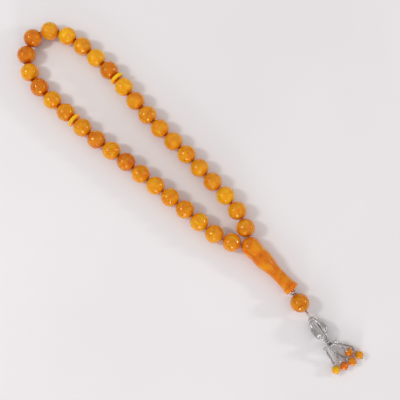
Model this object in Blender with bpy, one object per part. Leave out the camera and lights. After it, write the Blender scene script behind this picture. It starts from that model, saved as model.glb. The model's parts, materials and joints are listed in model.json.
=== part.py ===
"""Misbaha: a strand of thirty-three round beads in three groups of eleven.

Two thin discs split the groups. One limp cord carries every bead. Both its ends run
down through the long turned head piece (the imam) and the end bead to a knotted loop,
which holds a silver tassel: a ring, a neck, an openwork cage, a rosette and five chains
with a small bead on each. Everything lies at rest on the plane z = 0.

Frame: +Y runs along the strand towards the far end of the loop, +Z is up, and the
origin is on the floor under the middle of the object. Units are metres.
"""

import math

import bmesh
import bpy
from mathutils import Matrix, Vector

MM = 0.001
DOWN = Vector((0.0, 0.0, -1.0))
UP = Vector((0.0, 0.0, 1.0))

# Counting beads and marker discs
GROUPS = 3
BEADS_PER_GROUP = 11
BEAD_RADIUS = 5.0 * MM
BEAD_BORE = 1.2 * MM
BEAD_GAP = 0.2 * MM
BEAD_PITCH = 2 * BEAD_RADIUS + BEAD_GAP
BEAD_SIDES = 14
BEAD_ROWS = 6
DISC_RADIUS = 4.2 * MM
DISC_EDGE_RADIUS = 3.7 * MM
DISC_THICKNESS = 2.0 * MM
DISC_PITCH = 6.25 * MM

# Cord: hand-placed route in millimetres, x, y and height
CORD_RADIUS = 0.4 * MM
CORD_POINTS = 80
STRAND_OFFSET = 0.55 * MM
STEM_ROUTE = [
    (1.84, -85.8, 4.8),
    (2.4, -82.0, 5.0),
    (3.4, -77.5, 4.8),
    (4.5, -74.3, 4.2),
    (4.6, -62.0, 4.6),
    (4.6, -48.5, 5.1),
]
LOOP_ROUTE = [
    (7.2, -39.0, 5.2),
    (9.8, -34.5, 5.0),
    (13.0, -25.0, 5.0),
    (14.2, -13.0, 5.0),
    (14.5, 2.0, 5.0),
    (14.8, 20.0, 5.0),
    (14.3, 38.0, 5.0),
    (15.3, 57.0, 5.0),
    (16.8, 74.0, 5.0),
    (16.5, 90.0, 5.0),
    (15.6, 101.0, 5.0),
    (13.6, 110.8, 5.0),
    (8.5, 119.8, 5.0),
    (-0.9, 123.0, 5.0),
    (-10.0, 118.0, 5.0),
    (-15.5, 108.8, 5.0),
    (-17.2, 98.0, 5.0),
    (-16.6, 86.0, 5.0),
    (-15.9, 72.0, 5.0),
    (-14.8, 57.0, 5.0),
    (-12.2, 42.0, 5.0),
    (-10.4, 26.0, 5.0),
    (-8.2, 9.0, 5.0),
    (-6.3, -8.0, 5.0),
    (-4.9, -24.0, 5.0),
    (-1.5, -34.3, 5.0),
    (1.6, -39.0, 5.2),
]

# Imam, in millimetres: stations along its axis from the head's end, with the radius at each
IMAM_HEAD_CENTRE = Vector((4.6, -43.5, 5.3)) * MM
IMAM_TAIL_HEIGHT = 4.05 * MM
IMAM_HEAD_RADIUS = 5.3 * MM
IMAM_OUTLINE = [
    (5.3, 5.3),
    (7.6, 5.05),
    (10.2, 4.65),
    (12.2, 4.8),
    (14.4, 4.95),
    (17.0, 4.6),
    (20.0, 3.9),
    (24.0, 3.4),
    (28.5, 3.35),
    (33.6, 3.6),
]
IMAM_COLLAR = [(33.9, 4.0), (34.6, 4.05), (36.0, 4.05), (36.3, 3.85)]
IMAM_BORE = 1.4 * MM
IMAM_BORE_TOP = 8.5
IMAM_SIDE_HOLE_START = 10.4
IMAM_SIDE_HOLE_BORE = 1.25 * MM
IMAM_SIDE_HOLE_ANGLE = math.radians(17.5)
IMAM_SIDES = 24

# End bead and stop ring
END_BEAD_BORE = 1.4 * MM
STOP_RING_OUTER = 1.95 * MM
STOP_RING_LENGTH = 0.9 * MM

# Tassel: stations run along its axis, away from the end bead
TASSEL_ORIGIN = Vector((1.5, -88.5, 4.6)) * MM
TASSEL_AXIS = Vector((-0.156, -0.988, 0.0)).normalized()
TASSEL_SIDE = Vector((0.988, -0.156, 0.0)).normalized()
KNOT_STATION = -1.65 * MM
KNOT_RADIUS = 0.75 * MM
LINK_GAP = 0.25 * MM
KNOT_LOOP = (0.8 * MM, 0.28 * MM)
TOP_RING = (1.0 * MM, 0.22 * MM)
NECK_EYE = (0.72 * MM, 0.2 * MM)
RIM_LOOP = (0.75 * MM, 0.22 * MM)
CHAIN_EYE = (0.7 * MM, 0.2 * MM)
PIN_EYE = (0.66 * MM, 0.18 * MM)
NECK_RINGS = 3
NECK_RADII = (1.0 * MM, 2.0 * MM)
NECK_LENGTH = 1.2 * MM
RIB_COUNT = 8
RIB_RADIUS = 0.38 * MM
CAGE_LENGTH = 12.0 * MM
CAGE_OUTLINE = [(0.0, 1.9), (1.0, 2.8), (2.8, 3.65), (5.4, 4.1), (7.8, 3.95), (10.2, 2.5), (12.0, 1.35)]
CAGE_HEAD_RING = (1.9 * MM, 0.4 * MM)
CAGE_FOOT_RING = (1.3 * MM, 0.4 * MM)
COLLAR_LENGTH = 1.85 * MM
COLLAR_RADII = (1.5 * MM, 1.15 * MM)
ROSETTE_RADIUS = 4.6 * MM
ROSETTE_THICKNESS = 0.8 * MM
JOIN_GAP = 0.3 * MM
CHAIN_RADIUS = 0.6 * MM
RIM_LOOP_CIRCLE = 3.4 * MM
# Each chain: the angle of its loop round the rosette, then points of its lie in
# millimetres as station, side and height, the last being the end of the chain
CHAIN_LIES = [
    (180, [(24.0, -3.7, 4.3), (27.2, -3.8, 3.1)]),
    (108, [(24.0, -0.7, 6.6), (27.8, -0.3, 3.6)]),
    (-108, [(24.0, 0.1, 1.3), (28.6, 1.9, 1.8)]),
    (36, [(22.8, 3.5, 6.0), (24.6, 4.4, 4.8)]),
    (-36, [(24.0, 6.2, 2.3), (27.4, 9.0, 2.2)]),
]
TASSEL_BEAD_CENTRES = [
    (32.0, -4.7, 2.2),
    (32.8, -0.1, 2.2),
    (33.5, 4.6, 2.2),
    (28.7, 6.1, 2.2),
    (32.9, 9.6, 2.2),
]
TASSEL_BEAD_RADIUS = 2.2 * MM
TASSEL_BEAD_BORE = 0.6 * MM
PIN_RADIUS = 0.3 * MM
PIN_HEAD_RADIUS = 0.7 * MM
PIN_HEAD_LENGTH = 0.4 * MM

# Colours: base colour, roughness and metallic value
FINISHES = {
    "bead_resin": ((0.78, 0.27, 0.03), 0.22, 0.0),
    "disc_resin": ((0.86, 0.40, 0.06), 0.25, 0.0),
    "imam_resin": ((0.76, 0.24, 0.03), 0.2, 0.0),
    "tassel_resin": ((0.74, 0.25, 0.03), 0.22, 0.0),
    "thread": ((0.55, 0.2, 0.14), 0.8, 0.0),
    "silver": ((0.62, 0.61, 0.6), 0.28, 1.0),
}


def clear_scene():
    for item in list(bpy.data.objects):
        bpy.data.objects.remove(item)


def finish(name):
    """The named Principled material, made once."""
    material = bpy.data.materials.get(name)
    if material:
        return material
    colour, roughness, metallic = FINISHES[name]
    material = bpy.data.materials.new(name)
    material.use_nodes = True
    shader = material.node_tree.nodes["Principled BSDF"]
    shader.inputs["Base Color"].default_value = (*colour, 1.0)
    shader.inputs["Roughness"].default_value = roughness
    shader.inputs["Metallic"].default_value = metallic
    material.diffuse_color = (*colour, 1.0)
    return material


# Curves


def smooth_curve(points, steps=24):
    """Closely spaced points on a centripetal Catmull-Rom curve through the given points."""
    ends = [points[0] * 2 - points[1], points[-1] * 2 - points[-2]]
    path = [ends[0], *points, ends[1]]
    curve = []
    for i in range(1, len(path) - 2):
        p0, p1, p2, p3 = path[i - 1 : i + 3]
        t1 = (p1 - p0).length ** 0.5
        t2 = t1 + (p2 - p1).length ** 0.5
        t3 = t2 + (p3 - p2).length ** 0.5
        for k in range(steps):
            t = t1 + (t2 - t1) * k / steps
            a1 = p0 * ((t1 - t) / t1) + p1 * (t / t1)
            a2 = p1 * ((t2 - t) / (t2 - t1)) + p2 * ((t - t1) / (t2 - t1))
            a3 = p2 * ((t3 - t) / (t3 - t2)) + p3 * ((t - t2) / (t3 - t2))
            b1 = a1 * ((t2 - t) / t2) + a2 * (t / t2)
            b2 = a2 * ((t3 - t) / (t3 - t1)) + a3 * ((t - t1) / (t3 - t1))
            curve.append(b1 * ((t2 - t) / (t2 - t1)) + b2 * ((t - t1) / (t2 - t1)))
    curve.append(points[-1].copy())
    return curve


class Path:
    """A polyline that can be read by distance along it."""

    def __init__(self, points):
        self.points = points
        self.marks = [0.0]
        for a, b in zip(points, points[1:]):
            self.marks.append(self.marks[-1] + (b - a).length)
        self.length = self.marks[-1]

    def at(self, distance):
        distance = min(max(distance, 0.0), self.length)
        low, high = 0, len(self.marks) - 1
        while high - low > 1:
            middle = (low + high) // 2
            if self.marks[middle] <= distance:
                low = middle
            else:
                high = middle
        share = (distance - self.marks[low]) / (self.marks[high] - self.marks[low])
        return self.points[low].lerp(self.points[high], share)

    def spread(self, count):
        return [self.at(self.length * i / (count - 1)) for i in range(count)]


def stem_strand(side):
    """Points of one of the two strands that share the imam's bore, from the knot up."""
    centre = [Vector(p) * MM for p in STEM_ROUTE]
    strand = []
    for i, point in enumerate(centre):
        ahead = centre[min(i + 1, len(centre) - 1)]
        behind = centre[max(i - 1, 0)]
        across = (ahead - behind).cross(UP).normalized()
        strand.append(point + across * STRAND_OFFSET * side)
    return strand


def cord_path():
    """The whole cord: up one strand, round the loop and down the other."""
    loop = [Vector(p) * MM for p in LOOP_ROUTE]
    return Path(smooth_curve(stem_strand(1) + loop + stem_strand(-1)[::-1]))


def seat(path, distance, half_length):
    """Centre and axis of a piece threaded on the path: the bend is shared out both ways."""
    entry = path.at(distance - half_length)
    leave = path.at(distance + half_length)
    centre = ((entry + leave) / 2).lerp(path.at(distance), 0.5)
    return centre, (leave - entry).normalized()


def next_seat(path, distance, half_length, start, spacing):
    """The first distance past `distance` whose seat is `spacing` from the point `start`."""
    step = 0.01 * MM
    while (seat(path, distance, half_length)[0] - start).length < spacing:
        distance += step
    return distance


def strand_seats():
    """(kind, centre, axis) of each bead and disc on the loop, in order from the imam."""
    path = cord_path()
    distance = path.length * 0.05
    while path.at(distance).y < IMAM_HEAD_CENTRE.y:
        distance += MM
    here = IMAM_HEAD_CENTRE
    spacing = IMAM_HEAD_RADIUS + BEAD_RADIUS + BEAD_GAP
    seats = []
    for group in range(GROUPS):
        for _ in range(BEADS_PER_GROUP):
            distance = next_seat(path, distance, BEAD_RADIUS, here, spacing)
            here, axis = seat(path, distance, BEAD_RADIUS)
            seats.append(("bead", here, axis))
            spacing = BEAD_PITCH
        if group < GROUPS - 1:
            distance = next_seat(path, distance, DISC_THICKNESS / 2, here, DISC_PITCH)
            here, axis = seat(path, distance, DISC_THICKNESS / 2)
            seats.append(("disc", here, axis))
            spacing = DISC_PITCH
    return seats


# Solids


def placed(axis, location, down=DOWN):
    """A matrix whose local Z lies along axis and whose local X points down."""
    axis = axis.normalized()
    x = (down - axis * down.dot(axis)).normalized()
    y = axis.cross(x)
    turn = Matrix((x, y, axis)).transposed().to_4x4()
    return Matrix.Translation(location) @ turn


def add_object(name, data, matrix, material):
    item = bpy.data.objects.new(name, data)
    item.matrix_world = matrix
    if not data.materials:
        data.materials.append(finish(material))
    bpy.context.scene.collection.objects.link(item)
    return item


def mesh_from(name, work):
    bmesh.ops.recalc_face_normals(work, faces=work.faces)
    data = bpy.data.meshes.new(name)
    work.to_mesh(data)
    work.free()
    data.shade_smooth()
    data.set_sharp_from_angle(angle=math.radians(40))
    return data


def turned(name, profile, sides, ring=False):
    """A mesh turned about Z from (radius, height) pairs. A ring's profile closes on itself."""
    work = bmesh.new()
    rows = []
    for radius, height in profile:
        if radius < 1e-9:
            rows.append([work.verts.new((0.0, 0.0, height))])
            continue
        row = []
        for i in range(sides):
            angle = math.tau * i / sides
            row.append(work.verts.new((radius * math.cos(angle), radius * math.sin(angle), height)))
        rows.append(row)
    pairs = list(zip(rows, rows[1:]))
    if ring:
        pairs.append((rows[-1], rows[0]))
    for lower, upper in pairs:
        for i in range(sides):
            j = (i + 1) % sides
            corners = [lower[i % len(lower)], lower[j % len(lower)]]
            corners += [upper[j % len(upper)], upper[i % len(upper)]]
            work.faces.new(dict.fromkeys(corners))
    return mesh_from(name, work)


def bored_ball(name, radius, bore, sides, rows):
    """A sphere with a hole through it along Z."""
    mouth = math.asin(bore / radius)
    profile = []
    for i in range(rows + 1):
        angle = mouth + (math.pi - 2 * mouth) * i / rows
        profile.append((radius * math.sin(angle), radius * math.cos(angle)))
    return turned(name, profile, sides, ring=True)


def hoop(name, size, sides=12, wire_sides=6):
    """A wire ring about Z: size is its centre-line radius and its wire's radius."""
    ring_radius, wire_radius = size
    profile = []
    for i in range(wire_sides):
        angle = math.tau * i / wire_sides
        profile.append((ring_radius + wire_radius * math.cos(angle), wire_radius * math.sin(angle)))
    return turned(name, profile, sides, ring=True)


def tube(name, points, radius, material):
    """A plain tube along the points, with its ends closed."""
    data = bpy.data.curves.new(name, "CURVE")
    data.dimensions = "3D"
    data.bevel_depth = radius
    data.bevel_resolution = 2
    data.use_fill_caps = True
    line = data.splines.new("POLY")
    line.points.add(len(points) - 1)
    for spot, point in zip(line.points, points):
        spot.co = (*point, 1.0)
    data.materials.append(finish(material))
    item = bpy.data.objects.new(name, data)
    bpy.context.scene.collection.objects.link(item)
    return item


def swept(name, points, radius, sides=8):
    """A mesh tube along the points with closed ends, in the points' own coordinates."""
    work = bmesh.new()
    rows = []
    across = (points[1] - points[0]).orthogonal().normalized()
    for i, point in enumerate(points):
        along = (points[min(i + 1, len(points) - 1)] - points[max(i - 1, 0)]).normalized()
        across = (across - along * across.dot(along)).normalized()
        beside = along.cross(across)
        row = []
        for k in range(sides):
            angle = math.tau * k / sides
            spot = across * math.cos(angle) + beside * math.sin(angle)
            row.append(work.verts.new(point + spot * radius))
        rows.append(row)
    for lower, upper in zip(rows, rows[1:]):
        for i in range(sides):
            j = (i + 1) % sides
            work.faces.new((lower[i], lower[j], upper[j], upper[i]))
    work.faces.new(rows[0])
    work.faces.new(rows[-1])
    return mesh_from(name, work)


def as_tool(item):
    """Marks a helper solid that only shapes another piece."""
    item.hide_render = True
    item.display_type = "WIRE"
    return item


def combine(item, tools, operation):
    for tool in tools:
        as_tool(tool)
        change = item.modifiers.new(tool.name, "BOOLEAN")
        change.operation = operation
        change.solver = "EXACT"
        change.object = tool


# Strand


def make_beads():
    """Thirty-three beads and the two discs between their groups."""
    bead = bored_ball("bead_shape", BEAD_RADIUS, BEAD_BORE, BEAD_SIDES, BEAD_ROWS)
    half = DISC_THICKNESS / 2
    rim = half * 0.55
    outline = [
        (BEAD_BORE, half),
        (DISC_EDGE_RADIUS, half),
        (DISC_RADIUS, rim),
        (DISC_RADIUS, -rim),
        (DISC_EDGE_RADIUS, -half),
        (BEAD_BORE, -half),
    ]
    disc = turned("disc_shape", outline, 16, ring=True)
    shapes = {"bead": (bead, "bead_resin", "bead_{:02d}"), "disc": (disc, "disc_resin", "marker_disc_{}")}
    counts = {"bead": 0, "disc": 0}
    for kind, centre, axis in strand_seats():
        counts[kind] += 1
        shape, material, label = shapes[kind]
        add_object(label.format(counts[kind]), shape, placed(axis, centre), material)


def make_cord():
    tube("cord", cord_path().spread(CORD_POINTS), CORD_RADIUS, "thread")


def imam_axis():
    """Unit vector from the imam's head to its tail: the tail is thinner, so it lies lower."""
    run = (IMAM_COLLAR[1][0] - IMAM_OUTLINE[0][0]) * MM
    drop = IMAM_HEAD_CENTRE.z - IMAM_TAIL_HEIGHT
    return Vector((0.0, -math.sqrt(run * run - drop * drop), -drop)).normalized()


def imam_point(station):
    """The point on the imam's axis at a station of its outline."""
    return IMAM_HEAD_CENTRE + imam_axis() * (station - IMAM_OUTLINE[0][0]) * MM


def rod(name, start, end, radius, sides=16):
    """A round bar between two points."""
    length = (end - start).length
    data = turned(name, [(0, 0), (radius, 0), (radius, length), (0, length)], sides)
    return add_object(name, data, placed(end - start, start), "imam_resin")


def make_imam():
    """The turned head piece: a round head, a waist, a second swell and a long tapered tail."""
    head = []
    for degrees in range(0, 90, 15):
        angle = math.radians(degrees)
        station = IMAM_HEAD_RADIUS * (1 - math.cos(angle))
        head.append((IMAM_HEAD_RADIUS * math.sin(angle), station))
    body = smooth_curve([Vector((radius, station, 0)) * MM for station, radius in IMAM_OUTLINE], 2)
    collar = [(radius * MM, station * MM) for station, radius in IMAM_COLLAR]
    profile = head + [(p.x, p.y) for p in body] + collar + [(0.0, collar[-1][1])]
    data = turned("imam", profile, IMAM_SIDES)
    item = add_object("imam", data, placed(imam_axis(), imam_point(0.0)), "imam_resin")
    past_tail = imam_point(IMAM_COLLAR[-1][0] + 1.0)
    cutters = [rod("imam_bore", past_tail, imam_point(IMAM_BORE_TOP), IMAM_BORE)]
    start = imam_point(IMAM_SIDE_HOLE_START)
    for side, label in ((1, "right"), (-1, "left")):
        swing = Matrix.Rotation(-side * IMAM_SIDE_HOLE_ANGLE, 3, "Z")
        end = start - (swing @ imam_axis()) * 3 * IMAM_HEAD_RADIUS
        cutters.append(rod("imam_hole_" + label, start, end, IMAM_SIDE_HOLE_BORE))
    combine(item, cutters, "DIFFERENCE")


def make_end_bead():
    """The last bead, under the imam, and the small ring that keeps them apart."""
    centres = [Vector(p) * MM for p in STEM_ROUTE]
    axis = (centres[2] - centres[0]).normalized()
    data = bored_ball("end_bead", BEAD_RADIUS, END_BEAD_BORE, BEAD_SIDES, BEAD_ROWS)
    add_object("end_bead", data, placed(axis, centres[1]), "bead_resin")
    gap_start, gap_end = centres[2], centres[3]
    half = STOP_RING_LENGTH / 2
    outline = [
        (END_BEAD_BORE, half),
        (STOP_RING_OUTER, half * 0.6),
        (STOP_RING_OUTER, -half * 0.6),
        (END_BEAD_BORE, -half),
    ]
    data = turned("stop_ring", outline, 12, ring=True)
    middle = gap_start.lerp(gap_end, 0.4)
    add_object("stop_ring", data, placed(gap_end - gap_start, middle), "silver")


# Tassel


def tassel_point(station, side=0.0, height=None):
    """World point from a station along the tassel, a sideways offset and a height."""
    point = TASSEL_ORIGIN + TASSEL_AXIS * station + TASSEL_SIDE * side
    if height is not None:
        point.z = height
    return point


def upright(direction):
    """Normal of the upright plane that holds a direction."""
    return direction.cross(UP).normalized()


def link_step(first, second):
    """Distance between the centres of two linked rings that keep a small gap."""
    return first[0] + second[0] - first[1] - second[1] - LINK_GAP


def tassel_stations():
    """Where each piece of the tassel begins or has its centre, along the tassel's axis."""
    at = {"knot": KNOT_STATION}
    at["knot_loop"] = at["knot"] + KNOT_RADIUS + KNOT_LOOP[0] - KNOT_LOOP[1]
    at["top_ring"] = at["knot_loop"] + link_step(KNOT_LOOP, TOP_RING)
    at["neck_eye"] = at["top_ring"] + link_step(TOP_RING, NECK_EYE)
    at["neck"] = at["neck_eye"] + NECK_EYE[0]
    at["cage"] = at["neck"] + NECK_LENGTH + JOIN_GAP + CAGE_HEAD_RING[1]
    at["collar"] = at["cage"] + CAGE_LENGTH + CAGE_FOOT_RING[1] + JOIN_GAP
    at["rosette"] = at["collar"] + COLLAR_LENGTH + JOIN_GAP
    at["rim_loop"] = at["rosette"] + ROSETTE_THICKNESS + RIM_LOOP[0] * 0.5
    return at


def loop_centre(index):
    """Centre of the rosette's loop that holds a chain."""
    angle = math.radians(CHAIN_LIES[index][0])
    side = RIM_LOOP_CIRCLE * math.cos(angle)
    height = TASSEL_ORIGIN.z + RIM_LOOP_CIRCLE * math.sin(angle)
    return tassel_point(tassel_stations()["rim_loop"], side, height)


def make_top():
    """The cord's knotted loop and the ring that swings on it."""
    at = tassel_stations()
    side = upright(TASSEL_AXIS)
    ball = turned("cord_knot", ball_profile(KNOT_RADIUS, 6), 10)
    knot = add_object("cord_knot", ball, placed(TASSEL_AXIS, tassel_point(at["knot"])), "thread")
    loop = hoop("knot_loop", KNOT_LOOP)
    place = placed(side, tassel_point(at["knot_loop"]))
    combine(knot, [add_object("knot_loop", loop, place, "thread")], "UNION")
    place = placed(UP, tassel_point(at["top_ring"]), TASSEL_AXIS)
    add_object("top_ring", hoop("top_ring", TOP_RING, 14), place, "silver")


def ball_profile(radius, rows):
    """(radius, height) pairs of a whole sphere, pole to pole."""
    profile = []
    for i in range(rows + 1):
        angle = math.pi * i / rows
        profile.append((radius * math.sin(angle) * (0 < i < rows), radius * math.cos(angle)))
    return profile


def make_neck():
    """The coiled neck under its eye: three rings that widen towards the cage."""
    at = tassel_stations()
    narrow, wide = NECK_RADII
    pitch = NECK_LENGTH / NECK_RINGS
    profile = [(0.0, 0.0)]
    for i in range(NECK_RINGS):
        radius = narrow + (wide - narrow) * i / (NECK_RINGS - 1)
        profile.append((radius * 0.82, pitch * i))
        profile.append((radius, pitch * (i + 0.3)))
        profile.append((radius, pitch * (i + 0.7)))
    profile += [(wide * 0.82, NECK_LENGTH), (0.0, NECK_LENGTH)]
    place = placed(TASSEL_AXIS, tassel_point(at["neck"]))
    neck = add_object("tassel_neck", turned("tassel_neck", profile, 14), place, "silver")
    eye = hoop("neck_eye", NECK_EYE)
    place = placed(upright(TASSEL_AXIS), tassel_point(at["neck_eye"]))
    combine(neck, [add_object("neck_eye", eye, place, "silver")], "UNION")


def make_cage():
    """The openwork drop: ribs that swell between two end rings."""
    at = tassel_stations()
    place = placed(TASSEL_AXIS, tassel_point(at["cage"]))
    cage = add_object("cage", hoop("cage", CAGE_HEAD_RING, 18), place, "silver")
    place = placed(TASSEL_AXIS, tassel_point(at["cage"] + CAGE_LENGTH))
    parts = [add_object("cage_foot", hoop("cage_foot", CAGE_FOOT_RING, 18), place, "silver")]
    outline = smooth_curve([Vector((radius, 0, station)) * MM for station, radius in CAGE_OUTLINE], 2)
    rib = swept("cage_rib", outline, RIB_RADIUS, 6)
    for i in range(RIB_COUNT):
        turn = Matrix.Rotation(math.tau * i / RIB_COUNT, 4, "Z")
        place = placed(TASSEL_AXIS, tassel_point(at["cage"])) @ turn
        parts.append(add_object("cage_rib_{}".format(i + 1), rib, place, "silver"))
    combine(cage, parts, "UNION")


def make_rosette():
    """The collar under the cage, and the dished rosette with a loop for each chain."""
    at = tassel_stations()
    wide, narrow = COLLAR_RADII
    length = COLLAR_LENGTH
    profile = [
        (0.0, 0.0),
        (narrow, 0.0),
        (wide, length * 0.3),
        (wide, length * 0.7),
        (narrow, length),
        (0.0, length),
    ]
    place = placed(TASSEL_AXIS, tassel_point(at["collar"]))
    add_object("tassel_collar", turned("tassel_collar", profile, 14), place, "silver")
    thick = ROSETTE_THICKNESS
    profile = [
        (0.0, 0.0),
        (ROSETTE_RADIUS * 0.5, 0.0),
        (ROSETTE_RADIUS * 0.94, thick * 0.3),
        (ROSETTE_RADIUS, thick * 0.6),
        (ROSETTE_RADIUS * 0.97, thick),
        (0.0, thick),
    ]
    place = placed(TASSEL_AXIS, tassel_point(at["rosette"]))
    rosette = add_object("rosette", turned("rosette", profile, 20), place, "silver")
    loop = hoop("rim_loop", RIM_LOOP)
    loops = []
    for i in range(len(CHAIN_LIES)):
        place = placed(UP, loop_centre(i), TASSEL_AXIS)
        loops.append(add_object("rim_loop_{}".format(i + 1), loop, place, "silver"))
    combine(rosette, loops, "UNION")


def chain_hinge(index):
    """Where a chain turns on its loop's wire, and the level direction it leaves in."""
    root = loop_centre(index)
    station, side, _ = CHAIN_LIES[index][1][0]
    level = tassel_point(station * MM, side * MM, root.z) - root
    level.normalize()
    return root + level * RIM_LOOP[0], level


def chain_ends(index):
    """Centres of the two eyes of a chain and of its pin's eye, with the directions there."""
    lie = [tassel_point(s * MM, t * MM, z * MM) for s, t, z in CHAIN_LIES[index][1]]
    hinge, _ = chain_hinge(index)
    leave = (lie[0] - hinge).normalized()
    first_eye = hinge + leave * (link_step(RIM_LOOP, CHAIN_EYE) - RIM_LOOP[0])
    bead = tassel_point(*[value * MM for value in TASSEL_BEAD_CENTRES[index]])
    arrive = (bead - lie[-1]).normalized()
    pin_eye = bead - arrive * (TASSEL_BEAD_RADIUS + PIN_EYE[0] + PIN_EYE[1])
    last_eye = pin_eye - arrive * link_step(CHAIN_EYE, PIN_EYE)
    return first_eye, leave, last_eye, arrive, pin_eye, bead, lie


def make_chain(index):
    """A chain as one slim solid with an eye at each end, hooked through the rosette's loop."""
    number = index + 1
    first_eye, leave, last_eye, arrive, _, _, lie = chain_ends(index)
    inset = CHAIN_EYE[0] * 0.9
    route = [first_eye + leave * inset, *lie, last_eye - arrive * inset]
    name = "chain_{}".format(number)
    body = swept(name, Path(smooth_curve(route)).spread(8), CHAIN_RADIUS)
    chain = add_object(name, body, Matrix(), "silver")
    eyes = []
    sideways = leave.cross(UP).normalized()
    for label, centre, normal, heading in (
        ("first", first_eye, sideways, leave),
        ("last", last_eye, arrive.cross(arrive.cross(UP)).normalized(), arrive),
    ):
        eye = hoop("chain_eye", CHAIN_EYE, 10)
        place = placed(normal, centre, heading)
        eyes.append(add_object("chain_{}_{}_eye".format(number, label), eye, place, "silver"))
    combine(chain, eyes, "UNION")


def make_pin(index):
    """A pin through a small bead: an eye above, a flat head below."""
    number = index + 1
    _, _, _, arrive, pin_eye, bead, _ = chain_ends(index)
    bead_data = bpy.data.meshes.get("tassel_bead_shape")
    if bead_data is None:
        bead_data = bored_ball("tassel_bead_shape", TASSEL_BEAD_RADIUS, TASSEL_BEAD_BORE, 12, 6)
    add_object("tassel_bead_{}".format(number), bead_data, placed(arrive, bead), "tassel_resin")
    reach = TASSEL_BEAD_RADIUS + 0.25 * MM
    top = -(bead - pin_eye).length + PIN_EYE[0] * 0.9
    profile = [
        (0.0, top),
        (PIN_RADIUS, top),
        (PIN_RADIUS, reach),
        (PIN_HEAD_RADIUS, reach),
        (PIN_HEAD_RADIUS, reach + PIN_HEAD_LENGTH),
        (0.0, reach + PIN_HEAD_LENGTH),
    ]
    pin = add_object("pin_{}".format(number), turned("pin", profile, 8), placed(arrive, bead), "silver")
    eye_name = "pin_{}_eye".format(number)
    place = placed(arrive.cross(UP).normalized(), pin_eye, arrive)
    combine(pin, [add_object(eye_name, hoop(eye_name, PIN_EYE, 10), place, "silver")], "UNION")


def make_tassel():
    make_top()
    make_neck()
    make_cage()
    make_rosette()
    for index in range(len(CHAIN_LIES)):
        make_chain(index)
        make_pin(index)


def main():
    clear_scene()
    make_beads()
    make_cord()
    make_imam()
    make_end_bead()
    make_tassel()


main()
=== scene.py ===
"""Misbaha on a pale matt table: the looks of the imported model.

The beads, discs, imam, cord and silver tassel are built here in fine detail, each on the
CAD body that it belongs to. Units are metres in the CAD's frame: +Y runs towards the far
end of the loop and +Z is up.
"""

import json
import math
import random

import bmesh
import bpy
from mathutils import Matrix, Vector


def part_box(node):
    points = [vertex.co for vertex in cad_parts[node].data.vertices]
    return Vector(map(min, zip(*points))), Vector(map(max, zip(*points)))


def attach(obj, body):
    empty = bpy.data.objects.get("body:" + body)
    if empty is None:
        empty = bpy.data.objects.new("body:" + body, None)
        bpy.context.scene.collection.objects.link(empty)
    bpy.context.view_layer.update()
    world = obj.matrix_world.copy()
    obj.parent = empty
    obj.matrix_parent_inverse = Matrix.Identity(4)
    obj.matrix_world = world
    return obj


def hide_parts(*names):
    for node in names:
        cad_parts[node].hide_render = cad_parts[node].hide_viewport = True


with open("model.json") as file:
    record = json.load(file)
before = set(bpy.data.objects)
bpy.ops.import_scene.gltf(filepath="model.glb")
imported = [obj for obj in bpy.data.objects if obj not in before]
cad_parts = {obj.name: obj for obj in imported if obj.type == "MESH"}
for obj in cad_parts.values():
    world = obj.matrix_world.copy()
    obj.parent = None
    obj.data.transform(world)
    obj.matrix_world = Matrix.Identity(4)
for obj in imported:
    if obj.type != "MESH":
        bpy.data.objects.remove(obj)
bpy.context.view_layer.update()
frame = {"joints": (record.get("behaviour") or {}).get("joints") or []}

MM = 0.001
UP = Vector((0.0, 0.0, 1.0))
DOWN = -UP
SEED = 33

# Camera
CAMERA_TARGET = Vector((3.24, -6.2, 0.0)) * MM
CAMERA_AZIMUTH = math.radians(-44.0)
CAMERA_ELEVATION = math.radians(81.0)
CAMERA_DISTANCE = 394.0 * MM
CAMERA_LENS = 65.7
CAMERA_SENSOR = 36.0
CAMERA_CLIP_START = 10.0 * MM

# Cord: the route in millimetres, x, y and height
CORD_RADIUS = 0.4 * MM
CORD_PLIES = 3
CORD_PLY_PITCH = 1.9 * MM
CORD_STEP = 0.22 * MM
STRAND_OFFSET = 0.55 * MM
STEM_ROUTE = [
    (1.7, -86.7, 4.8),
    (2.4, -82.0, 5.0),
    (3.4, -77.5, 4.8),
    (4.5, -74.3, 4.2),
    (4.6, -62.0, 4.6),
    (4.6, -48.5, 5.1),
]
LOOP_ROUTE = [
    (7.2, -39.0, 5.2),
    (9.8, -34.5, 5.0),
    (13.0, -25.0, 5.0),
    (14.2, -13.0, 5.0),
    (14.5, 2.0, 5.0),
    (14.8, 20.0, 5.0),
    (14.3, 38.0, 5.0),
    (15.3, 57.0, 5.0),
    (16.8, 74.0, 5.0),
    (16.5, 90.0, 5.0),
    (15.6, 101.0, 5.0),
    (13.6, 110.8, 5.0),
    (8.5, 119.8, 5.0),
    (-0.9, 123.0, 5.0),
    (-10.0, 118.0, 5.0),
    (-15.5, 108.8, 5.0),
    (-17.2, 98.0, 5.0),
    (-16.6, 86.0, 5.0),
    (-15.9, 72.0, 5.0),
    (-14.8, 57.0, 5.0),
    (-12.2, 42.0, 5.0),
    (-10.4, 26.0, 5.0),
    (-8.2, 9.0, 5.0),
    (-6.3, -8.0, 5.0),
    (-4.9, -24.0, 5.0),
    (-1.5, -34.3, 5.0),
    (1.6, -39.0, 5.2),
]

# Beads
BEAD_COUNT = 33
BEAD_RADIUS = 5.0 * MM
DISC_RADIUS = 4.2 * MM
DISC_THICKNESS = 2.0 * MM
BEAD_BORE = 1.2 * MM
END_BEAD_BORE = 1.4 * MM
TASSEL_BEAD_RADIUS = 2.2 * MM
TASSEL_BEAD_BORE = 0.6 * MM
LIP = 0.16 * MM

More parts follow.
